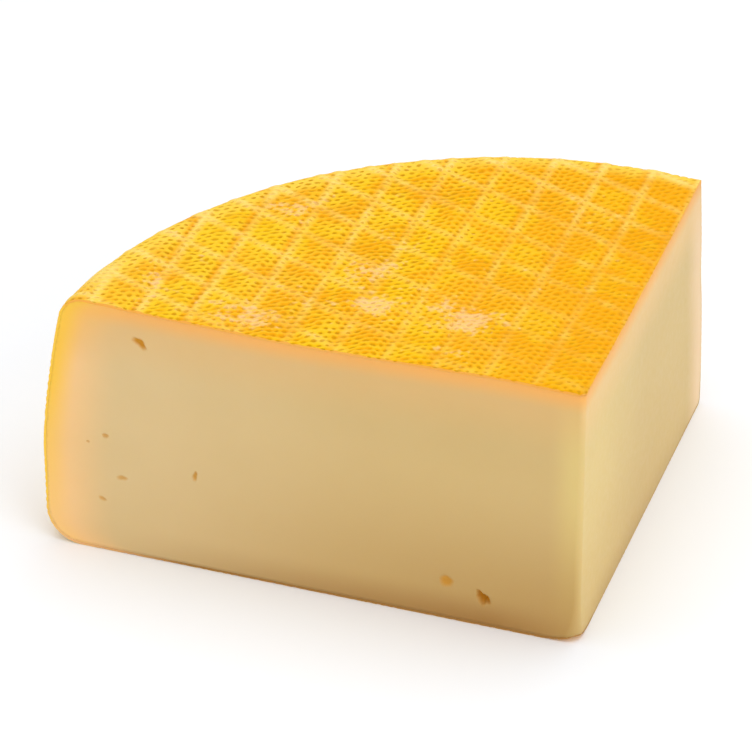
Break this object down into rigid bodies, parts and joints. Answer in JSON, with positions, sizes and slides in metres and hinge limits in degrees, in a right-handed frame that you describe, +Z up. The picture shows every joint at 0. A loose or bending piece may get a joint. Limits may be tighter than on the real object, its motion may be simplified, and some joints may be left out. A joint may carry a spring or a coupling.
{
  "type": "ridder cheese",
  "caption": "Hand-cut wedge of a small washed-rind cheese wheel: rounded rim, mat-printed rind, smooth cut faces with a few small eyes.",
  "frame": {"origin": "middle of the base's bounding box, on the flat side that the wedge lies on", "axes": "+Z up from the base, the longer cut face faces -Y, the shorter cut face faces +X, the rind is at -X and +Y"},
  "size_m": [0.1356, 0.1152, 0.0702],
  "materials": {
    "paste": "smooth, slightly moist cut face of semi-soft cheese paste",
    "rind": "thin orange washed rind with the draining mat's print"
  },
  "bodies": {
    "root": {"cheese": "paste"}
  },
  "joints": []
}
